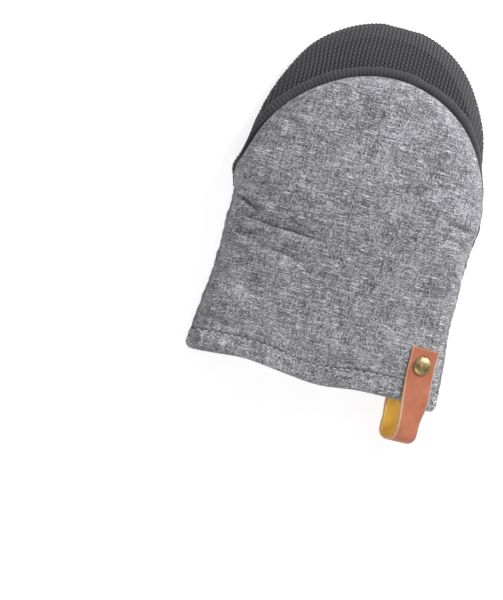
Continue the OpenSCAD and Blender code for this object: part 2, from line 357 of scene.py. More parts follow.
def border(rows, cols):
    """Numbers of a grid's outer points, in order round it."""
    index = np.arange(rows * cols).reshape(rows, cols)
    return np.concatenate([index[0], index[1:, -1], index[-1, -2::-1], index[-2:0:-1, 0]])


def ring_faces(rings, sides, start=0):
    """Faces of a closed tube made of rings of points, with its two ends."""
    r, k = np.meshgrid(np.arange(rings - 1), np.arange(sides), indexing="ij")
    here = start + r * sides + k
    onward = start + r * sides + (k + 1) % sides
    walls = np.stack([here, onward, onward + sides, here + sides], -1).reshape(-1, 4).tolist()
    last = start + (rings - 1) * sides
    return walls + [list(range(start, start + sides))[::-1], list(range(last, last + sides))]


def run_along(line):
    """How far along a line of points each of them lies."""
    return np.concatenate([[0], np.cumsum(np.linalg.norm(np.diff(line, axis=0), axis=1))])


def heading(line):
    """The direction of a line at each of its points."""
    ahead = np.gradient(line, axis=0)
    return ahead / np.linalg.norm(ahead, axis=1)[:, None]


def resampled(line, places):
    """Points of a flat line at the given distances along it."""
    run = run_along(line)
    return np.stack([np.interp(places, run, line[:, i]) for i in (0, 1)], -1)


def mesh_object(name, points, faces, uv=None, values=None, smooth=True):
    """A mesh object from points in millimetres, with its cloth map and point values."""
    mesh = bpy.data.meshes.new(name)
    mesh.from_pydata((np.asarray(points).reshape(-1, 3) * MM).tolist(), [],
                     [list(map(int, f)) for f in faces])
    mesh.validate()
    if uv is not None:
        loops = np.zeros(len(mesh.loops), np.int32)
        mesh.loops.foreach_get("vertex_index", loops)
        layer = mesh.uv_layers.new(name="cloth")
        layer.data.foreach_set("uv", np.asarray(uv, float).reshape(-1, 2)[loops].ravel())
    for key, value in (values or {}).items():
        field = mesh.attributes.new(key, "FLOAT", "POINT")
        field.data.foreach_set("value", np.asarray(value, np.float32).ravel())
    mesh.polygons.foreach_set("use_smooth", [smooth] * len(mesh.polygons))
    return placed(name, mesh)


def shell(name, top, bottom):
    """A closed panel between an upper and a lower grid of points."""
    rows, cols = top.shape[:2]
    size = rows * cols
    ring = border(rows, cols)
    onward = np.roll(ring, -1)
    walls = np.stack([ring + size, onward + size, onward, ring], -1)
    faces = np.concatenate([grid_quads(rows, cols), grid_quads(rows, cols, size)[:, ::-1], walls])
    flat = cloth_map(top)
    return mesh_object(name, np.concatenate([top.reshape(-1, 3), bottom.reshape(-1, 3)]),
                       faces, np.concatenate([flat.reshape(-1, 2)] * 2))


def joined_rims(upper, lower):
    """Triangles between two grids' borders, which may have different numbers of points."""
    rims = []
    start = 0
    for rows, cols in (upper, lower):
        sides = (cols - 1, rows - 1, cols - 1, rows - 1)
        place = np.concatenate([i + np.arange(n) / n for i, n in enumerate(sides)])
        rims.append((np.append(border(rows, cols), 0) + start, np.append(place, 4.0)))
        start += rows * cols
    (high, high_place), (low, low_place) = rims
    faces = []
    i = j = 0
    while i < len(high) - 1 or j < len(low) - 1:
        if j == len(low) - 1 or (i < len(high) - 1 and high_place[i + 1] <= low_place[j + 1]):
            faces.append([high[i], low[j], high[i + 1]])
            i += 1
        else:
            faces.append([high[i], low[j], low[j + 1]])
            j += 1
    return faces


def two_faced(name, fine, plain, fine_on_top, relief):
    """A thick sheet with a finely modelled face and a plain one."""
    near = grid_quads(*fine.shape[:2])
    far = grid_quads(*plain.shape[:2], fine.shape[0] * fine.shape[1])[:, ::-1]
    rim = joined_rims(fine.shape[:2], plain.shape[:2])
    faces = near.tolist() + far.tolist() + rim
    if not fine_on_top:
        faces = [face[::-1] for face in faces]
    flat = [cloth_map(fine).reshape(-1, 2), cloth_map(plain).reshape(-1, 2)]
    values = np.concatenate([relief.ravel(), np.zeros(plain.shape[0] * plain.shape[1])])
    return mesh_object(name, np.concatenate([fine.reshape(-1, 3), plain.reshape(-1, 3)]),
                       faces, np.concatenate(flat), {"relief": values})


def placed(name, data):
    """A new object in the scene."""
    made = bpy.data.objects.new(name, data)
    bpy.context.scene.collection.objects.link(made)
    return made


def tube(name, line, sides, radii):
    """A closed tube along a line. radii is (upwards, sideways) at each point of it."""
    line = np.asarray(line, float)
    ahead = heading(line)
    side = np.cross(ahead, (0.0, 0.0, 1.0))
    side /= np.linalg.norm(side, axis=1)[:, None]
    up = np.cross(side, ahead)
    turn = TURN * np.arange(sides) / sides
    ring = (up[:, None] * np.cos(turn)[None, :, None] * radii[:, [0], None]
            + side[:, None] * np.sin(turn)[None, :, None] * radii[:, [1], None])
    faces = [face[:1] + face[:0:-1] for face in ring_faces(len(line), sides)]
    flat = np.stack(np.broadcast_arrays(run_along(line)[:, None], (turn * radii.mean())[None, :]), -1)
    return mesh_object(name, line[:, None] + ring, faces, flat)


# ---- materials
class Finish:
    """A material being built. Each method adds a node and returns its output socket."""

    def __init__(self, name, **constants):
        self.material = bpy.data.materials.new(name)
        self.material.use_nodes = True
        self.tree = self.material.node_tree
        self.tree.nodes.clear()
        self.shader = self.tree.nodes.new("ShaderNodeBsdfPrincipled")
        output = self.tree.nodes.new("ShaderNodeOutputMaterial")
        self.tree.links.new(self.shader.outputs[0], output.inputs[0])
        for key, value in constants.items():
            self.shader.inputs[key.replace("_", " ")].default_value = value

    def node(self, kind, inputs=(), output=0, **settings):
        """A new node, with its settings and inputs."""
        made = self.tree.nodes.new(kind)
        for key, value in settings.items():
            setattr(made, key, value)
        for slot, value in dict(inputs).items():
            self.connect(value, made.inputs[slot])
        return made.outputs[output]

    def connect(self, value, socket):
        """Links a socket to another one, or sets its constant."""
        if isinstance(value, bpy.types.NodeSocket):
            self.tree.links.new(value, socket)
        else:
            socket.default_value = value

    def blend_of(self, first, share, second, other_share):
        """Two values, each times its share, added up."""
        return self.math("ADD", self.math("MULTIPLY", first, share),
                         self.math("MULTIPLY", second, other_share))

    def mask(self, value, low, high):
        """Black below one value, white above another one."""
        return self.ramp(value, [(low, (0, 0, 0)), (high, (1, 1, 1))])

    def math(self, operation, *values):
        """One step of arithmetic on values or sockets."""
        return self.node("ShaderNodeMath", dict(enumerate(values)), operation=operation)

    def cloth(self):
        """The place on the cloth, in millimetres along its threads."""
        return self.node("ShaderNodeUVMap", uv_map="cloth")

    def scaled(self, vector, sizes):
        """Coordinates drawn out by a factor along each axis."""
        return self.node("ShaderNodeMapping", {"Vector": vector, "Scale": sizes})

    def noise(self, vector, sizes, detail, roughness):
        """Noise drawn out differently along each axis."""
        return self.node("ShaderNodeTexNoise", {"Vector": self.scaled(vector, sizes), "Scale": 1,
                                                "Detail": detail, "Roughness": roughness})

    def ramp(self, value, stops):
        """Colours at places along a value from 0 to 1."""
        made = self.tree.nodes.new("ShaderNodeValToRGB")
        self.connect(value, made.inputs[0])
        elements = made.color_ramp.elements
        while len(elements) < len(stops):
            elements.new(1.0)
        for element, (place, colour) in zip(elements, stops):
            element.position = place
            element.color = (*colour, 1) if len(colour) == 3 else colour
        return made.outputs[0]

    def blended(self, amount, first, second, blend_type="MIX"):
        """Two colours, mixed by an amount."""
        made = self.tree.nodes.new("ShaderNodeMix")
        made.data_type = "RGBA"
        made.blend_type = blend_type
        self.connect(amount, made.inputs[0])
        self.connect(first, made.inputs[6])
        self.connect(second, made.inputs[7])
        return made.outputs[2]

    def bump(self, height, distance, strength):
        """Normals that follow a height."""
        return self.node("ShaderNodeBump", {"Height": height, "Distance": distance,
                                            "Strength": strength})

    def done(self, colour=None, roughness=None, normal=None):
        """Joins the results to the shader, and gives the material."""
        for value, name in ((colour, "Base Color"), (roughness, "Roughness"), (normal, "Normal")):
            if value is not None:
                self.connect(value, self.shader.inputs[name])
        return self.material


def grey(value):
    """A grey as cloth has it, very slightly blue."""
    return (value, value, value * 1.035)


def bluish(value):
    """A cooler grey, for the rubbery grips."""
    return (value, value, value * 1.12)


def woven_cloth(name, dark, light, yarn, unevenness, slubs):
    """Plain woven cloth: dark yarns one way, light ones the other, each uneven along its run."""
    m = Finish(name, Roughness=0.92, Sheen_Weight=0.12, Sheen_Roughness=0.6)
    place = m.cloth()
    parts = m.tree.nodes.new("ShaderNodeSeparateXYZ")
    m.connect(place, parts.inputs[0])
    across = m.math("SINE", m.math("MULTIPLY", parts.outputs[0], math.pi / yarn))
    along = m.math("SINE", m.math("MULTIPLY", parts.outputs[1], math.pi / yarn))
    weave = m.math("MULTIPLY", across, along)
    over = m.mask(m.math("MULTIPLY_ADD", weave, 0.5, 0.5), 0.3, 0.7)
    weft = m.noise(place, (0.085, 1.55, 1), 3, 0.6)
    warp = m.noise(place, (1.45, 0.09, 1), 3, 0.6)
    fine = m.noise(place, (1.15, 1.3, 1), 1, 0.5)
    thick_weft = m.noise(place, (0.06, 0.4, 3), 2, 0.6)
    thick_warp = m.noise(place, (0.36, 0.07, 5), 2, 0.6)
    # cloud: large soft mottling of the tone, part uneven wear and part painted shade of soft
    # wrinkles.
    cloud = m.noise(place, (0.045, 0.06, 1), 3, 0.6)
    crossing = m.node("ShaderNodeVectorMath", {0: m.scaled(place, (1 / yarn, 1 / yarn, 1))},
                      operation="FLOOR")
    speckle = m.node("ShaderNodeTexWhiteNoise", {"Vector": crossing}, noise_dimensions="2D")
    shares = ((weft, 1.05), (warp, 0.9), (fine, 1.3), (thick_weft, 0.6), (thick_warp, 0.5),
              (cloud, 0.6), (speckle, 0.6))
    tone = 0.0
    for yarn_tone, part in shares:
        tone = m.math("ADD", m.math("MULTIPLY", yarn_tone, part * unevenness), tone)
    level = m.math("SUBTRACT", tone, 0.5 * unevenness * sum(part for _, part in shares) - 0.5)
    colour = m.ramp(level, [(0.0, grey(dark)), (0.5, grey(mix(dark, light, 0.34))),
                            (1.0, grey(light))])
    streak = m.noise(place, (0.17, 1.35, 1), 1.5, 0.4)
    streaks = m.mask(streak, 0.64, 0.71)
    colour = m.blended(m.math("MULTIPLY", streaks, slubs), colour, (*grey(0.9), 1))
    dark_streak = m.noise(place, (1.2, 0.14, 7), 1.5, 0.4)
    darks = m.mask(dark_streak, 0.66, 0.78)
    colour = m.blended(m.math("MULTIPLY", darks, 0.55 * slubs), colour, (*grey(dark), 1))
    yarns = m.blended(over, (*grey(0.5), 1), (*grey(1.37), 1))
    colour = m.blended(1.0, colour, yarns, "MULTIPLY")
    height = m.math("ADD", m.math("ABSOLUTE", weave), m.math("MULTIPLY", fine, 0.9))
    height = m.math("ADD", height, m.math("MULTIPLY", streaks, 0.5))
    return m.done(colour, None, m.bump(height, 0.00022, 0.7))


def ribbed_grip():
    """Charcoal neoprene whose raised beads are modelled; the pits between them are darkened with
    painted shade, and the bead tops are lighter, part wear and part painted highlight.
    """
    m = Finish("grip_ribbed", Roughness=0.72, Sheen_Weight=0.1, Sheen_Roughness=0.5)
    place = m.cloth()
    relief = m.node("ShaderNodeAttribute", output=2, attribute_name="relief")
    speck = m.noise(place, (2.2, 2.2, 1), 3, 0.6)
    # The colour follows the beads' relief: painted shade in the pits, and lighter bead tops that are
    # part wear, part painted highlight.
    level = m.blend_of(relief, 0.75, speck, 0.5)
    colour = m.ramp(level, [(0.1, bluish(0.01)), (0.5, bluish(0.031)), (1.0, bluish(0.07))])
    grain = m.noise(place, (5, 5, 1), 2, 0.5)
    return m.done(colour, m.ramp(speck, [(0.3, (0.62,) * 3), (0.7, (0.82,) * 3)]),
                  m.bump(grain, 0.0001, 0.5))


def smooth_grip():
    """The plain side of the neoprene, with the fine ribs of its knitted face."""
    m = Finish("grip_plain", Roughness=0.8, Sheen_Weight=0.12, Sheen_Roughness=0.5)
    place = m.cloth()
    ribs = m.noise(place, (1.6, 0.12, 1), 2, 0.6)
    speck = m.noise(place, (2.4, 2.4, 1), 2, 0.5)
    level = m.blend_of(ribs, 0.6, speck, 0.4)
    colour = m.ramp(level, [(0.25, bluish(0.026)), (0.5, bluish(0.045)), (0.8, bluish(0.075))])
    return m.done(colour, None, m.bump(level, 0.00025, 0.6))


def leather(name, low, middle, high, roughness, grain_size, depth, sheen):
    """Leather or suede from three tones, with pores and soft mottling."""
    m = Finish(name, Roughness=roughness, Sheen_Weight=sheen, Sheen_Roughness=0.4)
    place = m.cloth()
    cloud = m.noise(place, (0.16, 0.1, 1), 3, 0.6)
    speck = m.noise(place, (1.6, 1.6, 1), 3, 0.6)
    level = m.blend_of(cloud, 0.65, speck, 0.35)
    colour = m.ramp(level, [(0.3, low), (0.5, middle), (0.72, high)])
    pores = m.node("ShaderNodeTexVoronoi", {"Vector": place, "Scale": grain_size})
    grain = m.math("ADD", pores, m.math("MULTIPLY", speck, 0.8))
    return m.done(colour, None, m.bump(grain, depth, 0.6))


def antique_brass():
    """Brass with dull brown patches and fine scratches."""
    m = Finish("brass", Metallic=1.0)
    place = m.node("ShaderNodeTexCoord", output=3)
    patch = m.noise(place, (260, 260, 260), 4, 0.6)
    scratch = m.noise(place, (300, 2600, 300), 2, 0.5)
    colour = m.ramp(patch, [(0.3, (0.22, 0.15, 0.07)), (0.5, (0.5, 0.38, 0.19)),
                            (0.75, (0.72, 0.6, 0.36))])
    rough = m.ramp(m.blend_of(patch, 0.6, scratch, 0.4),
                   [(0.3, (0.5,) * 3), (0.75, (0.3,) * 3)])
    return m.done(colour, rough, m.bump(scratch, 0.00003, 0.4))


def soft_fibre():
    """White bonded wadding."""
    m = Finish("wadding", Roughness=0.95, Sheen_Weight=0.3)
    place = m.node("ShaderNodeTexCoord", output=3)
    fibre = m.noise(place, (900, 900, 900), 4, 0.7)
    return m.done(m.ramp(fibre, [(0.3, (0.62, 0.61, 0.57)), (0.7, (0.86, 0.85, 0.8))]), None,
                  m.bump(fibre, 0.0004, 0.8))


def sewing_thread():
    """Light twisted thread."""
    m = Finish("thread", Roughness=0.7, Sheen_Weight=0.3)
    place = m.cloth()
    twist = m.node("ShaderNodeTexWave", {"Vector": place, "Scale": 0.9, "Distortion": 1.0})
    colour = m.ramp(twist, [(0.0, grey(0.42)), (1.0, grey(0.7))])
    return m.done(colour, None, m.bump(twist, 0.0001, 0.5))


def backdrop_white():
    """White card lit softly from below, as on a light table, with the least tooth."""
    m = Finish("backdrop", Roughness=0.95, Emission_Strength=0.72, Emission_Color=(1, 1, 1, 1))
    place = m.node("ShaderNodeTexCoord", output=3)
    tooth = m.noise(place, (40, 40, 40), 3, 0.5)
    return m.done(m.ramp(tooth, [(0.3, (0.5,) * 3), (0.7, (0.53,) * 3)]))


CHAMBRAY = woven_cloth("chambray", 0.05, 0.62, 0.56, 1.0, 0.8)
LINING = woven_cloth("lining", 0.34, 0.66, 0.4, 0.45, 0.1)
GRIP_RIBBED = ribbed_grip()
GRIP_PLAIN = smooth_grip()
LEATHER = leather("leather", (0.33, 0.095, 0.04), (0.42, 0.132, 0.063), (0.49, 0.165, 0.085),
                  0.55, 1.9, 0.00006, 0.0)
SUEDE = leather("suede", (0.95, 0.52, 0.07), (1.0, 0.66, 0.12), (1.0, 0.76, 0.2),
                0.9, 3.2, 0.00012, 0.4)
CUT_EDGE = leather("leather_edge", (0.5, 0.3, 0.17), (0.68, 0.46, 0.3), (0.8, 0.6, 0.44),
                   0.8, 3.0, 0.0001, 0.1)
BRASS = antique_brass()
WADDING_WHITE = soft_fibre()
THREAD = sewing_thread()


def finish_piece(piece, material, nodes=(), body=None):
    """Gives a piece its material, hides the nodes it stands for and puts it on the body it rides on.
    """
    for each in material if isinstance(material, list) else [material]:
        piece.data.materials.append(each)
    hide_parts(*nodes)
    if body:
        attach(piece, body)
    else:
        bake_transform(piece)
    return piece


# ---- cloth simulation
SIM_SCALE = 0.02
SIM_FRAMES = 20
SIM_REACH = 1.6
SIM_SPACING = 2.5


def puffed(points):
    """Wrinkles of a grid of cloth, sewn down along its border, when its padding swells it."""
    rows, cols = points.shape[:2]
    trial = mesh_object("trial", points * SIM_SCALE / MM, grid_quads(rows, cols))
    sewn = trial.vertex_groups.new(name="sewn")
    sewn.add([int(i) for i in border(rows, cols)], 1.0, "REPLACE")
    settings = trial.modifiers.new("swell", "CLOTH").settings
    settings.vertex_group_mass = "sewn"
    settings.shrink_min = -0.05
    settings.use_pressure = True
    settings.uniform_pressure_force = 0.6
    settings.tension_stiffness = 60
    settings.compression_stiffness = 60
    settings.bending_stiffness = 0.2
    settings.effector_weights.gravity = 0
    scene = bpy.context.scene
    scene.frame_start, scene.frame_end = 1, SIM_FRAMES
    for number in range(1, SIM_FRAMES + 1):
        scene.frame_set(number)
    settled = trial.evaluated_get(bpy.context.evaluated_depsgraph_get()).data
    after = np.zeros(rows * cols * 3, np.float32)
    settled.vertices.foreach_get("co", after)
    lift = after.reshape(points.shape)[..., 2] / SIM_SCALE - points[..., 2]
    bpy.data.objects.remove(trial)
    scene.frame_set(1)
    wrinkles = lift - softened(lift, 10)
    return SIM_REACH * np.tanh(wrinkles / SIM_REACH)


def softened(field, times):
    """A grid of values with its fine detail smoothed away."""
    for _ in range(times):
        wide = np.pad(field, 1, mode="edge")
        field = (wide[:-2, 1:-1] + wide[2:, 1:-1] + wide[1:-1, :-2] + wide[1:-1, 2:]) / 4
        field = 0.5 * field + 0.5 * wide[1:-1, 1:-1]
    return field


def sampled(field, rows, u, a):
    """A field on a coarse grid of rows and even columns, read at other places."""
    place = np.clip((u + 1) / 2 * (field.shape[1] - 1), 0, field.shape[1] - 1.001)
    row = np.clip(np.interp(a, rows, np.arange(len(rows))), 0, len(rows) - 1.001)
    c, r = place.astype(int), row.astype(int)
    dc, dr = place - c, row - r
    low = field[r, c] * (1 - dc) + field[r, c + 1] * dc
    high = field[r + 1, c] * (1 - dc) + field[r + 1, c + 1] * dc
    return low * (1 - dr) + high * dr


# ---- palm side
def front_spots(u, a, depth, padding=False):
    """Points of the palm and thumb flap, with their creases, at a depth in the wall."""
    on_flap = a > CREASE
    x = np.where(on_flap, flap_middle(a) + u * flap_width(a), u * hand_width(a))
    z = np.where(on_flap, flap_height(u, a, depth), palm_height(u, a, depth))
    inside = ease((1 - np.abs(u)) / 0.05) * ease((CREASE + FLAP_LENGTH - a) / 6)
    soft = crease_depth(x, a, FRONT_CREASES, padding)
    soft = soft - 0.5 * waves(x, a, 3, 34) - 0.16 * waves(x, a, 5, 11)
    soft = soft - sampled(front_swell, swell_rows, u, a)
    flat_bed = 1 - bell(np.hypot(x - RIVET.x, a - STRAP_TOP + 14) / 15)
    z = z - inside * flat_bed * soft + edge_puckers(u, a, 11) - hem_dip(x, a, 0.0) * (depth / WALL)
    return spots(x, a, z)


FRONT_ROWS = (CREASE, FLAP_LENGTH)
swell_rows = rows_along(GROOVE, *FRONT_ROWS, SIM_SPACING)
swell_u, swell_a = np.meshgrid(np.linspace(-1, 1, 55), swell_rows)
front_swell = np.zeros_like(swell_u)
front_swell = puffed(front_spots(swell_u, swell_a, WALL))
front_u, front_a = grid(rows_along(GROOVE, *FRONT_ROWS, 0.75), 170)
front_cloth = shell("front_cloth", front_spots(front_u, front_a, WALL),
                    front_spots(front_u, front_a, WALL - CLOTH))
finish_piece(front_cloth, CHAMBRAY,
             ["palm_outer_panel", "fold_outer", "thumb_outer_panel"])

pad_u, pad_a = grid(rows_along(HEM_HEIGHT, CREASE, FLAP_LENGTH - PAD_INSET, 2.0), 76)
pad_u = pad_u * (1 - PAD_INSET / FINGER_HALF)
front_wadding = shell("front_wadding", front_spots(pad_u, pad_a, WALL - CLOTH - 0.15, True),
                      front_spots(pad_u, pad_a, CLOTH + 0.05, True))
finish_piece(front_wadding, WADDING_WHITE,
             ["palm_wadding", "fold_wadding", "thumb_wadding"])

front_lining = shell("front_lining", front_spots(pad_u, pad_a, CLOTH, True),
                     front_spots(pad_u, pad_a, 0.0, True))
finish_piece(front_lining, LINING, ["palm_lining", "fold_lining", "thumb_lining"])


# ---- back
def back_spots(u, a, depth):
    """Points of the back at a depth in its wall. Its middle lies flat on the ground."""
    x = u * hand_width(a)
    z = back_height(x, a, depth)
    inside = ease((1 - np.abs(u)) / 0.05) * ease((LENGTH - a) / 6)
    soft = np.maximum(0, 0.35 * crease_depth(x, a, BACK_CREASES) + 0.1 + 0.12 * waves(x, a, 8, 30))
    lift = inside * soft + 0.6 * np.abs(edge_puckers(u, a, 21)) + 0.7 * hem_dip(x, a, 1.0)
    return finger_side(x, a, z + lift * (1 - depth / WALL))


BACK_ROWS = (DOME_START, DOME_LENGTH)
back_u, back_a = grid(rows_along(GROOVE, *BACK_ROWS, 1.1), 150)
back_cloth = shell("back_cloth", back_spots(back_u, back_a, CLOTH), back_spots(back_u, back_a, 0.0))
finish_piece(back_cloth, CHAMBRAY, ["back_outer_panel"], "root")

back_pad_u, back_pad_a = grid(rows_along(HEM_HEIGHT, DOME_START, DOME_LENGTH - PAD_INSET, 2.2), 70)
back_pad_u = back_pad_u * (1 - PAD_INSET / FINGER_HALF)
back_pad = shell("back_wadding_pad", back_spots(back_pad_u, back_pad_a, WALL - CLOTH - 0.05),
                 back_spots(back_pad_u, back_pad_a, CLOTH + 0.05))
finish_piece(back_pad, WADDING_WHITE, ["back_wadding"], "root")

inner_back = shell("back_inner_lining", back_spots(back_pad_u, back_pad_a, WALL),
                   back_spots(back_pad_u, back_pad_a, WALL - CLOTH))
finish_piece(inner_back, LINING, ["back_lining"], "root")


# ---- hems
def hem_profile():
    """The turned hem's section: pairs of distance from the edge and depth in the wall."""
    outer = [(GROOVE - 0.1 - t * (GROOVE - 1.9), 1.0) for t in np.linspace(0, 1, 15)]
    round_edge = [(1.7 - 1.7 * math.sin(t), 0.5 + 0.5 * math.cos(t))
                  for t in np.linspace(0, math.pi, 13)[1:-1]]
    inner = [(1.7 + t * (GROOVE - 1.9), 0.0) for t in np.linspace(0, 1, 12)]
    return np.array(outer + round_edge + inner)


def hem_band(name, height, outer_on_top, seed):
    """A turned hem swept across the mitt, with the slanting ripples of a roped hem."""
    profile = hem_profile()
    sides = columns(190)
    a, u = np.meshgrid(profile[:, 0], sides)
    layer = np.broadcast_to(profile[:, 1], a.shape)
    x = u * (outline(a) - 0.4)
    depth = WALL * (layer if outer_on_top else 1 - layer)
    z = height(u, a, depth)
    outward = (layer - 0.25) * (1 if outer_on_top else -1)
    rope = 0.26 * np.cos(TURN * (x + 0.8 * a) / 8.2 + 1.4 * waves(x, a, seed, 26))
    rope = rope * ease(a / 3) * ease((GROOVE + 1 - a) / 4)
    dip = hem_dip(x, a, 0.0)
    z = z + outward * (rope - dip) * ease((1 - np.abs(u)) / 0.03)
    if not outer_on_top:
        z = np.maximum(z, 0.02)
    edge = 0.2 * waves(x, 0 * a, seed + 1, 24) * bell(a / 4)
    points = spots(x, a + edge, z)
    faces = ring_faces(*points.shape[:2])
    if outer_on_top:
        faces = [f[::-1] for f in faces]
    gaps = np.linalg.norm(np.diff(points, axis=1, prepend=points[:, :1]), axis=2)
    run = np.cumsum(gaps, axis=1)
    flat = np.stack([x, run], -1)
    return mesh_object(name, points, faces, flat)


palm_hem = hem_band("palm_hem_fold", palm_height, True, 31)
finish_piece(palm_hem, CHAMBRAY, ["palm_hem"], "root")
back_hem = hem_band("back_hem_fold", lambda u, a, depth: back_height(u * hand_width(a), a, depth),
                    False, 41)
finish_piece(back_hem, CHAMBRAY, ["back_hem"], "root")


def thread_loop(x, lean, sink, height, sides=7, steps=9):
    """Rings of one stitch, which rises out of the cloth and goes back into it."""
    t = np.linspace(-1, 1, steps)
    centre = spots(x + 1.3 * t, GROOVE + lean * t, height + sink * t ** 4)
    turn = TURN * np.arange(sides) / sides
    radius = 0.34 * np.sqrt(1 - 0.8 * t ** 6)
    ring = np.stack([0 * turn, np.cos(turn), np.sin(turn)], -1)
    return centre[:, None] + ring[None] * radius[:, None, None]


def stitch_row(name, height, sink, seed):
    """A row of lockstitches in the hem's groove, as one mesh of separate stitches."""
    random = np.random.RandomState(seed)
    reach = int(hand_width(GROOVE) / STITCH_PITCH) - 1
    points, faces, flat = [], [], []
    for i in range(-reach, reach + 1):
        x = i * STITCH_PITCH + random.uniform(-0.2, 0.2)
        ring = thread_loop(x, random.uniform(-0.25, 0.25), sink, height(x))
        steps, sides = ring.shape[:2]
        faces += ring_faces(steps, sides, len(points))
        points.extend(ring.reshape(-1, 3))
        flat += [(r_ * 0.4, k_ * 0.3) for r_ in range(steps) for k_ in range(sides)]
    return mesh_object(name, np.array(points), faces, np.array(flat))


def palm_stitch_height(x):
    """Where a stitch of the palm lies, a little below the cloth's face."""
    u = x / hand_width(GROOVE)
    return float(palm_height(u, np.array(GROOVE), WALL)) - 0.3


def back_stitch_height(x):
    """Where a stitch of the back lies, a little above the ground."""
    return float(back_height(x, np.array(GROOVE), 0.0)) + 0.42


palm_stitches = stitch_row("palm_stitches", palm_stitch_height, -0.55, 51)
finish_piece(palm_stitches, THREAD, ["palm_hem_stitches"], "root")
back_stitches = stitch_row("back_stitches", back_stitch_height, 0.5, 61)
finish_piece(back_stitches, THREAD, ["back_hem_stitches"], "root")


# ---- side seams
def side_seam(name, side, node):
    """The rolled seam of the cuff, with the gathers that the stitches pull into it."""
    last = CREASE + 0.6
    a = np.arange(1.2, last, 0.6)
    low = back_height(side * hand_width(a), a, 0.0)
    high = palm_height(np.full_like(a, side), a, WALL)
    pull = 0.11 * np.cos(TURN * a / 5.3 + 2.5 * waves(a, 0 * a, 71 + side, 30))
    pull = pull + 0.16 * waves(a, 0 * a, 75 + side, 13)
    line = spots(side * (hand_width(a) - 0.1 + 0.3 * pull), a, (low + high) / 2)
    taper = np.sqrt(np.clip((last - a) / 12, 0.03, 1))[:, None]
    radii = np.stack([(high - low) / 2 + 0.15 + 0.5 * pull, 1.5 + pull], -1) * taper
    piece = tube(name, line, 20, radii)
    return finish_piece(piece, CHAMBRAY, [node], "root")


side_seam("left_seam", -1, "side_seam_left")
side_seam("right_seam", 1, "side_seam_right")


# ---- grips
def beads(x, a):
    """The raised beads of the grip: ridges towards the tip, beaded like a row of grains."""
    column = np.round(x / BEAD_PITCH)
    ridge = 0.5 + 0.5 * np.cos(TURN * x / BEAD_PITCH)
    shift = 0.5 * (column % 2)
    bead = 0.5 + 0.5 * np.cos(TURN * (a / BEAD_PITCH + shift))
    return ridge ** 0.6 * (0.5 + 0.5 * bead ** 0.7)


def finger_spots(u, a, depth):
    """Points of the finger half's grip, which reaches out to the mitt's edge."""
    x = u * (outline(a) - 0.15)
    inside = ease((1 - np.abs(u)) / 0.05)
    z = finger_height(x, a, depth) + 0.3 * inside * waves(x, a, 81, 40)
    return x, z


GRIP_START = CREASE - WEB_DEPTH
fine_u, fine_a = grid(rows_along(GRIP_START, *BACK_ROWS, 0.42), 470)
fine_x, fine_z = finger_spots(fine_u, fine_a, GRIP_WALL)
finger_beads = beads(fine_x, fine_a)
plain_u, plain_a = grid(rows_along(GRIP_START, *BACK_ROWS, 2.4), 64)
plain_x, plain_z = finger_spots(plain_u, plain_a, CLOTH)
fine_width = 1 + BEAD_HEIGHT * 0.8 * finger_beads * bell((1 - np.abs(fine_u)) / 0.02) / 60
finger_grip = two_faced(
    "finger_grip_face",
    finger_side(fine_x * fine_width, fine_a, fine_z + BEAD_HEIGHT * (finger_beads - 0.5)),
    finger_side(plain_x, plain_a, plain_z), True, finger_beads)
finish_piece(finger_grip, GRIP_RIBBED, ["finger_grip"], "root")

lining_x, lining_z = finger_spots(plain_u, plain_a, CLOTH - 0.05)
_, lining_low = finger_spots(plain_u, plain_a, 0.0)
finger_lining = shell("finger_inner_lining", finger_side(lining_x * 0.985, plain_a, lining_z),
                      finger_side(lining_x * 0.985, plain_a, lining_low))
finish_piece(finger_lining, LINING, ["finger_grip_lining"], "root")


def flap_mouth(u, a, depth):
    """Points of the thumb flap's grip, on the mouth side and in its thickness."""
    x = flap_middle(a) + u * flap_width(a)
    full = fullness(u, along_flap(a))
    return x, mouth_height(x, a, depth, full) + 0.3 * waves(x, a, 81, 40) * ease((1 - abs(u)) / 0.05)


thumb_u, thumb_a = grid(rows_along(GRIP_START, *FRONT_ROWS, 0.5), 400)
thumb_x, thumb_z = flap_mouth(thumb_u, thumb_a, 0.0)
thumb_beads = beads(thumb_x, thumb_a)
over_u, over_a = grid(rows_along(GRIP_START, *FRONT_ROWS, 2.4), 64)
over_x, over_z = flap_mouth(over_u, over_a, GRIP)
thumb_grip = two_faced(
    "thumb_grip_face",
    spots(thumb_x, thumb_a, thumb_z - 0.7 * BEAD_HEIGHT * (thumb_beads - 0.5)),
    spots(over_x, over_a, over_z), False, thumb_beads)
finish_piece(thumb_grip, GRIP_RIBBED, ["thumb_grip"])

_, over_top = flap_mouth(over_u, over_a, GRIP_WALL)
thumb_lining = shell("thumb_inner_lining", spots(over_x * 0.985, over_a, over_top),
                     spots(over_x * 0.985, over_a, over_z + 0.05))
finish_piece(thumb_lining, LINING, ["thumb_grip_lining"])


# ---- edge band and finger edge
def around(half_width, middle, start, dome_length, first, step):
    """Points (x, a) up the left side of a piece, round its tip and down the right side."""
    angles = np.linspace(math.asin(max(0, first - start) / dome_length), math.pi / 2, 400)
    a = start + dome_length * np.sin(angles)
    if first < start:
        a = np.concatenate([np.arange(first, start, 0.5), a])
    left = np.stack([middle(a) - half_width(a), a], -1)
    right = np.stack([middle(a) + half_width(a), a], -1)[::-1]
    whole = np.concatenate([left, right[1:]])
    return resampled(whole, np.arange(0, run_along(whole)[-1], step))


def outward_of(line):
    """Unit vectors square to a line of (x, a) points, on its left."""
    ahead = heading(line)
    return np.stack([-ahead[:, 1], ahead[:, 0]], -1)


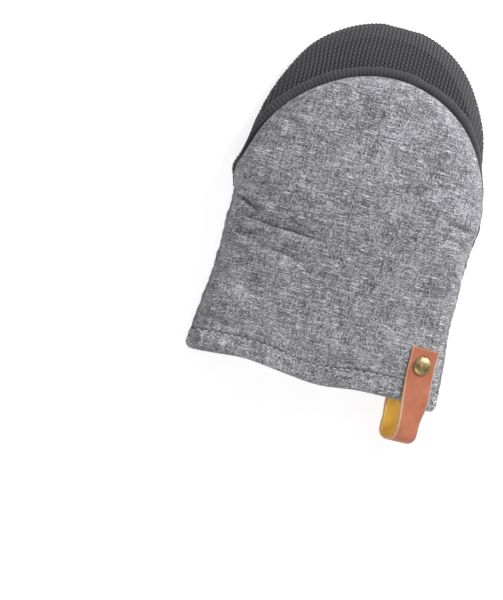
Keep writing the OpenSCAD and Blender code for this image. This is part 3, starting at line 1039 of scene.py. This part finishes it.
band_line = around(flap_width, flap_middle, CREASE, FLAP_LENGTH, CREASE - 1, BEAD_PITCH / 6)
band_out = outward_of(band_line)
band_place = np.linspace(-1, 1, len(band_line))
band_tuck = ease((band_place - 0.35) / 0.45)
band_wide = mix(3.0, 1.1, np.maximum(ease((-band_place - 0.62) / 0.36), band_tuck))
band_shift = band_wide - 0.75 - 1.2 * band_tuck
band_spot = band_line + band_out * band_shift[:, None]
band_wave = 0.2 * waves(band_spot[:, 0], band_spot[:, 1], 91, 14)
band_rib = 0.13 * np.cos(TURN * np.arange(len(band_line)) / 6)
band_z = finger_height(band_spot[:, 0], band_spot[:, 1], GRIP_WALL) + MOUTH_GAP + 2.2 + band_wave
thumb_band = tube(
    "thumb_band", spots(band_spot[:, 0], band_spot[:, 1], band_z), 24,
    np.stack([2.2 + band_rib, band_wide + band_wave], -1))
finish_piece(thumb_band, GRIP_PLAIN, ["thumb_edge_band"])

edge_line = around(lambda a: outline(a) - 0.9, lambda a: 0 * a, DOME_START, DOME_LENGTH - 0.9,
                   CREASE - 2, BEAD_PITCH / 6)
edge_scallop = 0.5 + 0.5 * np.cos(TURN * np.arange(len(edge_line)) / 6)
edge_z = 0.5 * (back_height(edge_line[:, 0], edge_line[:, 1], 0.0)
                + finger_height(edge_line[:, 0], edge_line[:, 1], GRIP_WALL)) - 0.4
finger_edge = tube("finger_edge_roll", finger_side(edge_line[:, 0], edge_line[:, 1], edge_z), 14,
                   np.stack([1.5 + 0 * edge_scallop, 0.8 + 0.45 * edge_scallop], -1))
finish_piece(finger_edge, GRIP_PLAIN, ["finger_edge"], "root")


# ---- strap and rivet
STRAP_HALF = 7.5
LEATHER_THICK = 1.3
STRAP_ABOVE = WALL / 2 + 0.3
STRAP_BELOW = WALL / 2 + 1.2
EYE_RADIUS = 6.5
END_ROUNDING = 0.8
STRAP_TWIST = math.radians(26)
STRAP_CORNER = 0.45


def strap_line():
    """The strap's middle line in the rivet's frame: (along, up) from its top end to its inner end."""
    top = STRAP_TOP - (RIVET.y - HEM_Y)
    bottom = LOOP_END - (RIVET.y - HEM_Y) + EYE_RADIUS + LEATHER_THICK / 2 - END_ROUNDING
    middle = (STRAP_ABOVE - STRAP_BELOW) / 2
    neck = bottom + 2.8 * EYE_RADIUS
    leg = np.arange(top, neck, -0.8)
    upper = [(y, STRAP_ABOVE + LEATHER_THICK / 2) for y in leg]
    lower = [(y, -STRAP_BELOW - LEATHER_THICK / 2) for y in leg[::-1]]
    eye = [(bottom + EYE_RADIUS * math.cos(t), middle + EYE_RADIUS * math.sin(t))
           for t in np.linspace(0.5 * math.pi, 1.5 * math.pi, 44)]
    return smooth_path(np.array(upper + eye + lower), 140)


def smooth_path(path, count):
    """A path with its corners rounded, as evenly spaced points."""
    for _ in range(30):
        path[1:-1] = 0.5 * path[1:-1] + 0.25 * (path[:-2] + path[2:])
    return resampled(path, np.linspace(0, run_along(path)[-1], count))


def strap_section():
    """The strap's section with rounded corners: (across, through) pairs."""
    half = LEATHER_THICK / 2
    section = []
    for sx, sz, first in ((1, 1, 0), (-1, 1, 90), (-1, -1, 180), (1, -1, 270)):
        for step in range(4):
            t = math.radians(first + 30 * step)
            section.append((sx * (STRAP_HALF - STRAP_CORNER) + STRAP_CORNER * math.cos(t),
                            sz * (half - STRAP_CORNER) + STRAP_CORNER * math.sin(t)))
    return np.array(section)


def bent_askew(points):
    """Lays the strap askew over the hem, in its own plane, and twists it past the hem."""
    past_rivet = -points[..., 1]
    points[..., 2] *= 1 + 0.2 * ease((past_rivet - 5) / 12)
    twist = STRAP_TWIST * ease((past_rivet - 14) / 19)
    askew = np.tan(STRAP_TWIST) * ease((past_rivet - 3) / 22) - np.tan(twist)
    askew = np.maximum(0, askew) * np.where(points[..., 2] < 0, 1.6, 0.8)
    points[..., 0] += askew * points[..., 2]
    x, z = points[..., 0].copy(), points[..., 2].copy()
    points[..., 0] = x * np.cos(twist) + z * np.sin(twist) - 2.1 * ease((past_rivet - 10) / 22)
    points[..., 2] = -x * np.sin(twist) + z * np.cos(twist)
    return points


def at_rivet(points):
    """Points of the rivet's frame at their place on the mitt."""
    lean = math.atan2(RIVET_AXIS.x, RIVET_AXIS.z)
    x, y, z = points[..., 0], points[..., 1], points[..., 2]
    turned = np.stack([x * math.cos(lean) + z * math.sin(lean), y,
                       -x * math.sin(lean) + z * math.cos(lean)], -1)
    return turned + np.array(RIVET)


def hanging_strap():
    """The leather strap: tan outside, suede inside, with cut edges."""
    path = strap_line()
    section = strap_section()
    sides = len(section)
    ahead = heading(path)
    outward = np.stack([ahead[:, 1], -ahead[:, 0]], -1)
    across = np.broadcast_to(section[:, 0], (len(path), sides))
    middle = path[:, None] + outward[:, None] * section[None, :, 1:]
    points = bent_askew(np.stack([across, middle[..., 0], middle[..., 1]], -1))
    flat = np.stack(np.broadcast_arrays(section[None, :, 0], run_along(path)[:, None]), -1)
    piece = mesh_object("leather_strap", at_rivet(points), ring_faces(len(path), sides), flat)
    for polygon in piece.data.polygons:
        mean = section[[v % sides for v in polygon.vertices]].mean(axis=0)
        if len(polygon.vertices) > 4 or abs(mean[0]) > STRAP_HALF - STRAP_CORNER:
            polygon.material_index = 2
        elif mean[1] < 0:
            polygon.material_index = 1
    return piece


strap = hanging_strap()
finish_piece(strap, [LEATHER, SUEDE, CUT_EDGE], ["hanging_loop"], "loop")


def turned_part(name, profile, place, sides=48):
    """A round part turned from (radius, height) pairs, on the rivet's axis."""
    turn = TURN * np.arange(sides) / sides
    points = [(radius * math.cos(t), radius * math.sin(t), height)
              for radius, height in profile for t in turn]
    piece = mesh_object(name, np.array(points), ring_faces(len(profile), sides))
    tilt = Vector((0, 0, 1)).rotation_difference(RIVET_AXIS).to_matrix().to_4x4()
    piece.data.transform(Matrix.Translation(Vector(place) * MM) @ tilt)
    return piece


def cap_profile():
    """The rivet's cap: a rolled rim, a shallow step and a dome with a faint dimple."""
    rim = [(4.1, 0.0)] + [(4.55 + 0.45 * math.sin(t), 0.5 - 0.5 * math.cos(t))
                          for t in np.linspace(0.3, math.pi - 0.5, 9)]
    dome = [(4.35 * math.cos(t), 0.75 + 0.95 * math.sin(t)) for t in np.linspace(0.05, 1.5, 16)]
    return rim + dome + [(0.01, 1.66)]


RIVET_PLAY = 0.1
CAP_LIFT = STRAP_ABOVE + LEATHER_THICK + RIVET_PLAY
cap = turned_part("rivet_dome", cap_profile(), RIVET + RIVET_AXIS * CAP_LIFT)
finish_piece(cap, BRASS, ["rivet_cap"], "root")
base = turned_part("rivet_plate", [(0.01, -0.9), (3.6, -0.85), (4.3, -0.6), (4.45, -0.2), (4.2, 0.0),
                                   (0.01, 0.0)],
                   RIVET - RIVET_AXIS * (STRAP_BELOW + LEATHER_THICK + RIVET_PLAY))
finish_piece(base, BRASS, ["rivet_base"], "root")
frame["nodes"]["rivet_post"].data.materials.clear()
frame["nodes"]["rivet_post"].data.materials.append(BRASS)


# ---- stage, light and camera
def plane(name, half, z):
    """A flat square that lies at a height."""
    corners = [(-half, -half, z), (half, -half, z), (half, half, z), (-half, half, z)]
    return mesh_object(name, np.array(corners), [(0, 1, 2, 3)], smooth=False)


floor = plane("floor", 30000, -0.05)
floor.data.materials.append(backdrop_white())

PICTURE_TURN = math.radians(15)
TO_RIGHT = Vector((math.cos(PICTURE_TURN), math.sin(PICTURE_TURN), 0))
TO_TOP = Vector((-math.sin(PICTURE_TURN), math.cos(PICTURE_TURN), 0))


def soft_box(name, place, size, power):
    """A round soft light that looks at the middle of the frame."""
    data = bpy.data.lights.new(name, "AREA")
    data.shape = "DISK"
    data.size = size
    data.energy = power
    made = placed(name, data)
    made.location = place
    made.rotation_euler = (-Vector(place)).to_track_quat("-Z", "Y").to_euler()


soft_box("key", TO_RIGHT * 1.2 + TO_TOP * 0.85 + Vector((0, 0, 0.95)), 0.5, 33)
soft_box("fill", TO_RIGHT * -0.5 + TO_TOP * -1.2 + Vector((0, 0, 1.0)), 0.9, 8)

world = bpy.data.worlds.new("studio")
bpy.context.scene.world = world
world.use_nodes = True
background = world.node_tree.nodes["Background"]
background.inputs[0].default_value = (1, 1, 1, 1)
background.inputs[1].default_value = 0.36

VIEW_HEIGHT = 324
VIEW_DISTANCE = 1600
VIEW_CENTRE = Vector((-41.6, HEM_Y + 32.2, 16))
SENSOR = 36
camera_data = bpy.data.cameras.new("camera")
camera_data.sensor_width = SENSOR
camera_data.lens = SENSOR * VIEW_DISTANCE / VIEW_HEIGHT
camera = placed("camera", camera_data)
camera.location = (VIEW_CENTRE + Vector((0, 0, VIEW_DISTANCE))) * MM
camera.rotation_euler = (0, 0, PICTURE_TURN)
bpy.context.scene.camera = camera
bpy.context.scene.view_settings.view_transform = "Standard"
